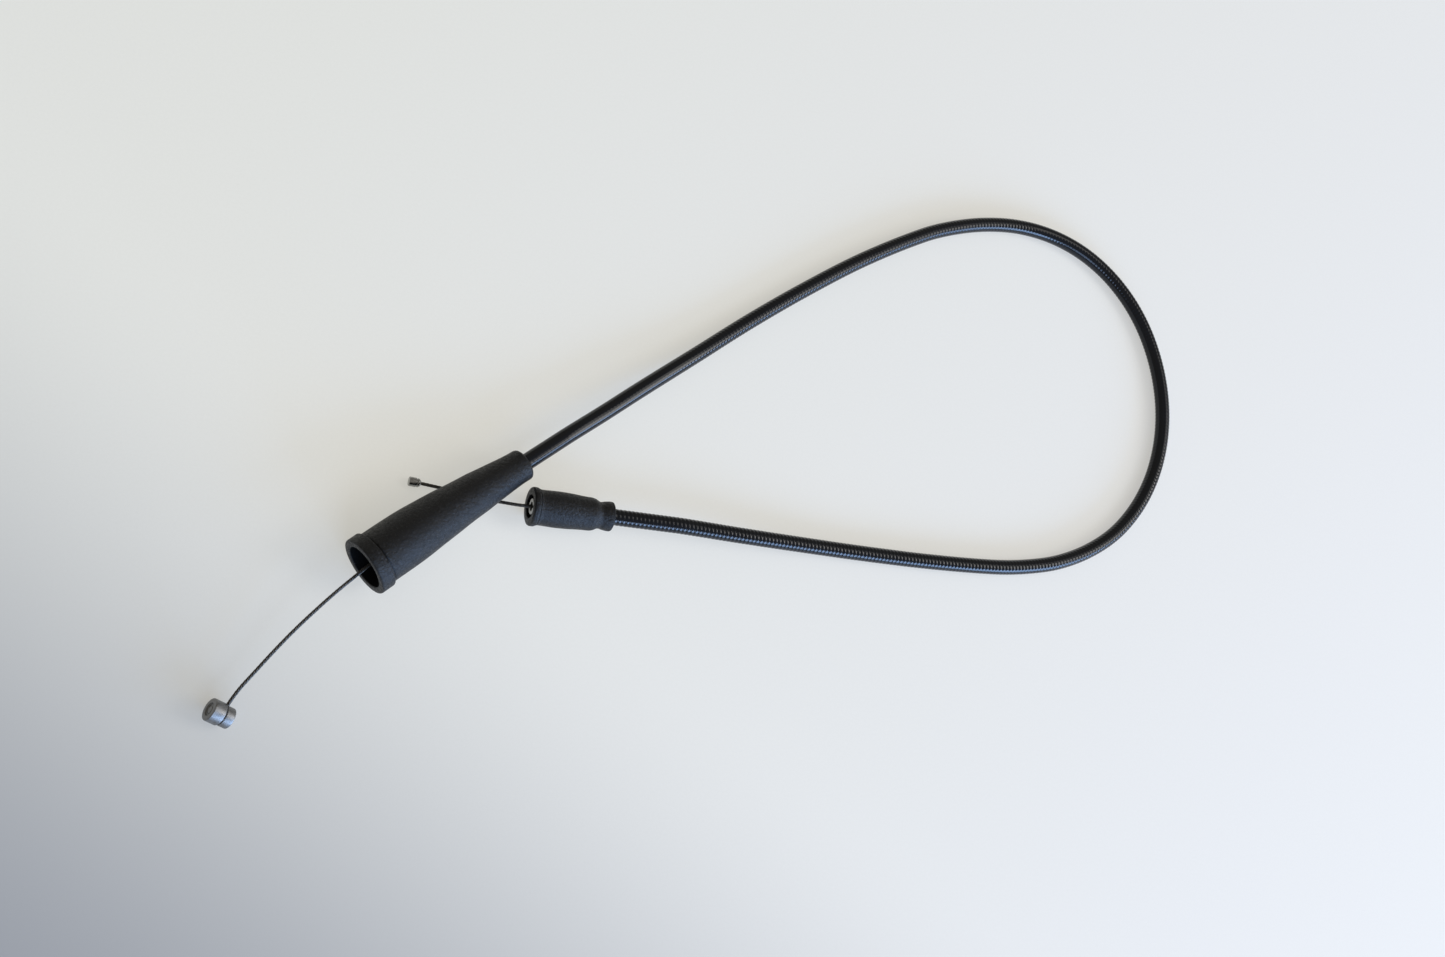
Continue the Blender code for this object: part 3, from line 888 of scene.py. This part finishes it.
def cap_shift(angle, depth, radius):
    if radius < chamber_radius + 0.0001:
        return 0.0, 0.0
    where = Vector((math.cos(angle) * 1.5 + 7.0, math.sin(angle) * 1.5, depth * 110.0))
    return CAP_UNEVENNESS * noise.noise(where), 0.0


cap = turned("carb_cap_rubber", cap_outline, cap_frame, CAP_SIDES, cap_shift)
cap.data.materials.append(boot_rubber)
# The cap's bore gets the same painted shade
line_inside(cap, cap_frame, lambda depth, radius: depth > 0.0004 and radius < chamber_radius + 0.0003)
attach(cap, "cap")
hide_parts("carb_cap")

# Grip nipple
# Two short barrels with a waist between them, die-cast in zinc round the wire's end, which comes
# out of the waist. The big barrel has a ring-shaped recess in its end. It turns in the twist grip.
BIG_BARREL_DIAMETER = 0.0088
BIG_BARREL_LENGTH = 0.0049
RECESS_DIAMETER = 0.0052
RECESS_DEPTH = 0.0007
RECESS_BOSS_DIAMETER = 0.0026
RECESS_TAPER = 0.0002
NIPPLE_SIDES = 96
AXIS_RADIUS = 0.00001
big = BIG_BARREL_DIAMETER / 2
small = SMALL_BARREL_DIAMETER / 2
half_waist = WAIST_LENGTH / 2
left_end = -half_waist - BIG_BARREL_LENGTH
right_end = half_waist + SMALL_BARREL_LENGTH
nipple_outline = filleted(
    (
        (AXIS_RADIUS, left_end + RECESS_DEPTH / 2, 0.0),
        (AXIS_RADIUS, right_end, 0.0),
        (small, right_end, 0.00045),
        (small, half_waist, 0.00030),
        (WAIST_DIAMETER / 2, half_waist, 0.00015),
        (WAIST_DIAMETER / 2, -half_waist, 0.00015),
        (big, -half_waist, 0.00040),
        (big, left_end, 0.00050),
        (RECESS_DIAMETER / 2, left_end, 0.00015),
        (RECESS_DIAMETER / 2 - RECESS_TAPER, left_end + RECESS_DEPTH, 0.00015),
        (RECESS_BOSS_DIAMETER / 2 + RECESS_TAPER, left_end + RECESS_DEPTH, 0.00015),
        (RECESS_BOSS_DIAMETER / 2, left_end + RECESS_DEPTH / 2, 0.00015),
    )
)
nipple = turned("grip_nipple_casting", nipple_outline[::-1], grip_nipple_frame, NIPPLE_SIDES)

# Die-cast zinc: silver grey metal with a satin skin, cloudy flow marks from the casting and small
# pits that break up its highlights.
cast_zinc, tree, shader, place = new_material("die_cast_zinc")
flow = add_node(tree, "ShaderNodeTexNoise", Vector=place, Scale=420.0, Detail=4.0, Roughness=0.6)
pits = add_node(tree, "ShaderNodeTexNoise", Vector=place, Scale=2400.0, Detail=2.0)
colour = add_node(
    tree,
    "ShaderNodeMix",
    {"data_type": "RGBA"},
    _0=flow.outputs["Fac"],
    _6=linear("#6B6B6B"),
    _7=linear("#A09F9D"),
)
dullness = add_node(
    tree,
    "ShaderNodeMapRange",
    Value=flow.outputs["Fac"],
    From_Min=0.3,
    From_Max=0.7,
    To_Min=0.42,
    To_Max=0.56,
)
surface = add_node(tree, "ShaderNodeBump", Height=pits.outputs["Fac"], Strength=0.25, Distance=0.00006)
tree.links.new(colour.outputs[2], shader.inputs["Base Color"])
tree.links.new(dullness.outputs["Result"], shader.inputs["Roughness"])
tree.links.new(surface.outputs["Normal"], shader.inputs["Normal"])
shader.inputs["Metallic"].default_value = 1.0
nipple.data.materials.append(cast_zinc)
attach(nipple, "grip_end")
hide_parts("grip_nipple")

# Carburettor nipple
# A small turned steel barrel, plated bright and swaged on the wire's other end, with a coned
# shoulder on the wire's side. It hooks into the carburettor's slide.
CARB_NIPPLE_SHOULDER = 0.0008
CARB_GROOVE_START = 0.0030
CARB_GROOVE_DEPTH = 0.00035
CARB_NECK_STEP = 0.00010
CARB_NIPPLE_SIDES = 64
tip = CARB_NIPPLE_DIAMETER / 2
carb_nipple_outline = filleted(
    (
        (AXIS_RADIUS, CARB_NIPPLE_LENGTH - WIRE_SEAT - CLEARANCE, 0.0),
        (AXIS_RADIUS, 0.0, 0.0),
        (tip, 0.0, 0.00045),
        (tip, CARB_GROOVE_START, 0.00020),
        (tip - CARB_GROOVE_DEPTH, CARB_GROOVE_START + 0.00010, 0.00005),
        (tip - CARB_GROOVE_DEPTH, CARB_GROOVE_START + 0.00030, 0.00005),
        (tip - CARB_NECK_STEP, CARB_GROOVE_START + 0.00045, 0.00020),
        (tip - CARB_NECK_STEP, CARB_NIPPLE_LENGTH - CARB_NIPPLE_SHOULDER, 0.00030),
        (WIRE_RADIUS + 0.0004, CARB_NIPPLE_LENGTH, 0.00010),
        (WIRE_RADIUS + 0.0001, CARB_NIPPLE_LENGTH, 0.0),
        (WIRE_RADIUS + 0.0001, CARB_NIPPLE_LENGTH - WIRE_SEAT - CLEARANCE, 0.0),
    )
)
carb_nipple = turned("carb_nipple_barrel", carb_nipple_outline, carb_nipple_frame, CARB_NIPPLE_SIDES)
carb_nipple.data.materials.append(plated_steel)
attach(carb_nipple, "carb_end")
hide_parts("carb_nipple")

# Spiral armour and liner
# Inside the jacket a flat steel wire is wound in a close spiral, and a white plastic liner lets
# the inner wire slide. Neither shows outside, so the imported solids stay.
armour_steel, tree, shader, place = new_material("drawn_flat_steel_wire")
drawn = add_node(tree, "ShaderNodeTexNoise", Vector=place, Scale=600.0, Detail=3.0)
colour = add_node(
    tree,
    "ShaderNodeMix",
    {"data_type": "RGBA"},
    _0=drawn.outputs["Fac"],
    _6=linear("#77787A"),
    _7=linear("#A4A5A7"),
)
tree.links.new(colour.outputs[2], shader.inputs["Base Color"])
shader.inputs["Metallic"].default_value = 1.0
shader.inputs["Roughness"].default_value = 0.38
liner_plastic, tree, shader, place = new_material("white_nylon_liner")
milky = add_node(tree, "ShaderNodeTexNoise", Vector=place, Scale=200.0, Detail=2.0)
colour = add_node(
    tree,
    "ShaderNodeMix",
    {"data_type": "RGBA"},
    _0=milky.outputs["Fac"],
    _6=linear("#DCDCD6"),
    _7=linear("#EAEAE6"),
)
tree.links.new(colour.outputs[2], shader.inputs["Base Color"])
shader.inputs["Roughness"].default_value = 0.40
shader.inputs["IOR"].default_value = 1.53
for node_name, node_material, node_slot in (
    ("spiral_armour", armour_steel, "armour"),
    ("inner_liner", liner_plastic, "liner"),
):
    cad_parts[node_name].data.materials.clear()
    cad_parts[node_name].data.materials.append(node_material)

# Table
# A plain pale table top with a faint, fine grain. Part of its pale tone is a painted glow instead of
# lit colour, which keeps the cable's shadow on it as light as in a bright room. Painted shade darkens
# it towards the near left corner, and painted window light cools it from warm white on the left to a
# plain white beside the window.
TABLE_REACH = 4.0
TABLE_DROP = 0.00005
# Share of the table's look that is a painted glow rather than lit colour
PAINTED_GLOW_SHARE = 0.48
TOWARD_LOOP = (0.559, 0.829, 0.0)
TOWARD_WINDOW = (0.829, -0.559, 0.0)
table_corners = []
for x, y in ((-1, -1), (1, -1), (1, 1), (-1, 1)):
    table_corners.append((x * TABLE_REACH, y * TABLE_REACH, -TABLE_DROP))
table_mesh = bpy.data.meshes.new("table_top")
table_mesh.from_pydata(table_corners, [], [(0, 1, 2, 3)])
table_top = bpy.data.objects.new("table_top", table_mesh)
bpy.context.scene.collection.objects.link(table_top)
table_laminate, tree, shader, place = new_material("pale_laminate")
fleck = add_node(tree, "ShaderNodeTexNoise", Vector=place, Scale=900.0, Detail=2.0)
unshaded_laminate = add_node(
    tree,
    "ShaderNodeMix",
    {"data_type": "RGBA"},
    _0=fleck.outputs["Fac"],
    _6=linear("#E4E5E2"),
    _7=linear("#ECEDEA"),
)
# Painted shade: past this band the table's colour and glow darken towards the near left corner
toward_loop = add_node(
    tree, "ShaderNodeVectorMath", {"operation": "DOT_PRODUCT"}, _0=place, _1=TOWARD_LOOP
)
beyond_painted_shade = add_node(
    tree,
    "ShaderNodeMapRange",
    {"interpolation_type": "SMOOTHSTEP"},
    Value=toward_loop.outputs["Value"],
    From_Min=-0.38,
    From_Max=-0.10,
    To_Min=0.0,
    To_Max=1.0,
)
# Painted shade in the laminate's colour towards the near left corner
colour = add_node(
    tree,
    "ShaderNodeMix",
    {"data_type": "RGBA"},
    _0=beyond_painted_shade.outputs["Result"],
    _6=linear("#BBBCBE"),
    _7=unshaded_laminate.outputs[2],
)
# Painted window light: the glow cools from warm white on the left to a plain white beside the window
toward_window = add_node(
    tree, "ShaderNodeVectorMath", {"operation": "DOT_PRODUCT"}, _0=place, _1=TOWARD_WINDOW
)
painted_window_tint_share = add_node(
    tree,
    "ShaderNodeMapRange",
    Value=toward_window.outputs["Value"],
    From_Min=-0.25,
    From_Max=0.30,
    To_Min=0.0,
    To_Max=1.0,
)
pale_tone = add_node(
    tree,
    "ShaderNodeMix",
    {"data_type": "RGBA"},
    _0=painted_window_tint_share.outputs["Result"],
    _6=linear("#FFFDF1"),
    _7=linear("#FCFBFA"),
)
# The painted glow, darkened by painted shade towards the near left corner and tinted by painted window
# light
painted_glow_tone = add_node(
    tree,
    "ShaderNodeMix",
    {"data_type": "RGBA"},
    _0=beyond_painted_shade.outputs["Result"],
    _6=linear("#898B8F"),
    _7=pale_tone.outputs[2],
)
tree.links.new(colour.outputs[2], shader.inputs["Base Color"])
shader.inputs["Roughness"].default_value = 0.55
# The painted glow is seen by camera, glossy and transmission rays only, and stands in for fill light
ray = add_node(tree, "ShaderNodeLightPath")
seen = add_node(
    tree,
    "ShaderNodeMath",
    {"operation": "MAXIMUM"},
    _0=ray.outputs["Is Camera Ray"],
    _1=ray.outputs["Is Glossy Ray"],
)
seen = add_node(
    tree,
    "ShaderNodeMath",
    {"operation": "MAXIMUM"},
    _0=seen.outputs[0],
    _1=ray.outputs["Is Transmission Ray"],
)
share = add_node(
    tree, "ShaderNodeMath", {"operation": "MULTIPLY"}, _0=seen.outputs[0], _1=PAINTED_GLOW_SHARE
)
pale = add_node(tree, "ShaderNodeEmission", Color=painted_glow_tone.outputs[2], Strength=1.0)
mixed = add_node(
    tree,
    "ShaderNodeMixShader",
    _0=share.outputs[0],
    _1=shader.outputs["BSDF"],
    _2=pale.outputs["Emission"],
)
tree.links.new(mixed.outputs["Shader"], tree.nodes["Material Output"].inputs["Surface"])
table_mesh.materials.append(table_laminate)

# Light
# Windows with blue sky stand low round the table's right and near sides, and broad neutral light
# comes from a third and from halfway up on the right. The rest of the room is dim and a little warm.
LAMP_DISTANCE = 2.8


def add_lamp(name, azimuth, elevation, width, height, power, colour):
    """A rectangular lamp that faces the cable from an azimuth and an elevation in degrees."""
    light = bpy.data.lights.new(name, "AREA")
    light.shape = "RECTANGLE"
    light.size = width
    light.size_y = height
    light.energy = power
    light.color = linear(colour)[:3]
    lamp = bpy.data.objects.new(name, light)
    bpy.context.scene.collection.objects.link(lamp)
    level = math.cos(math.radians(elevation))
    toward = Vector(
        (
            level * math.cos(math.radians(azimuth)),
            level * math.sin(math.radians(azimuth)),
            math.sin(math.radians(elevation)),
        )
    )
    lamp.location = toward * LAMP_DISTANCE
    lamp.rotation_euler = toward.to_track_quat("Z", "Y").to_euler()
    lamp.visible_camera = False


add_lamp("right_window", -50.0, 13.0, 1.90, 1.20, 93.0, "#A8CCFF")
add_lamp("near_window", -88.0, 27.0, 1.40, 1.20, 26.0, "#B4D2FF")
add_lamp("window_side", -22.0, 16.0, 0.70, 0.70, 17.0, "#BAD5FF")
add_lamp("broad_right_light", -8.0, 35.0, 1.30, 1.00, 22.0, "#FFFDFA")
add_lamp("high_right_light", 12.0, 52.0, 1.50, 0.70, 6.5, "#FFFAF2")
world = bpy.data.worlds.new("room")
world.use_nodes = True
world.node_tree.nodes["Background"].inputs["Color"].default_value = linear("#FFF9EF")
world.node_tree.nodes["Background"].inputs["Strength"].default_value = 0.28
bpy.context.scene.world = world
bpy.context.scene.view_settings.view_transform = "Standard"
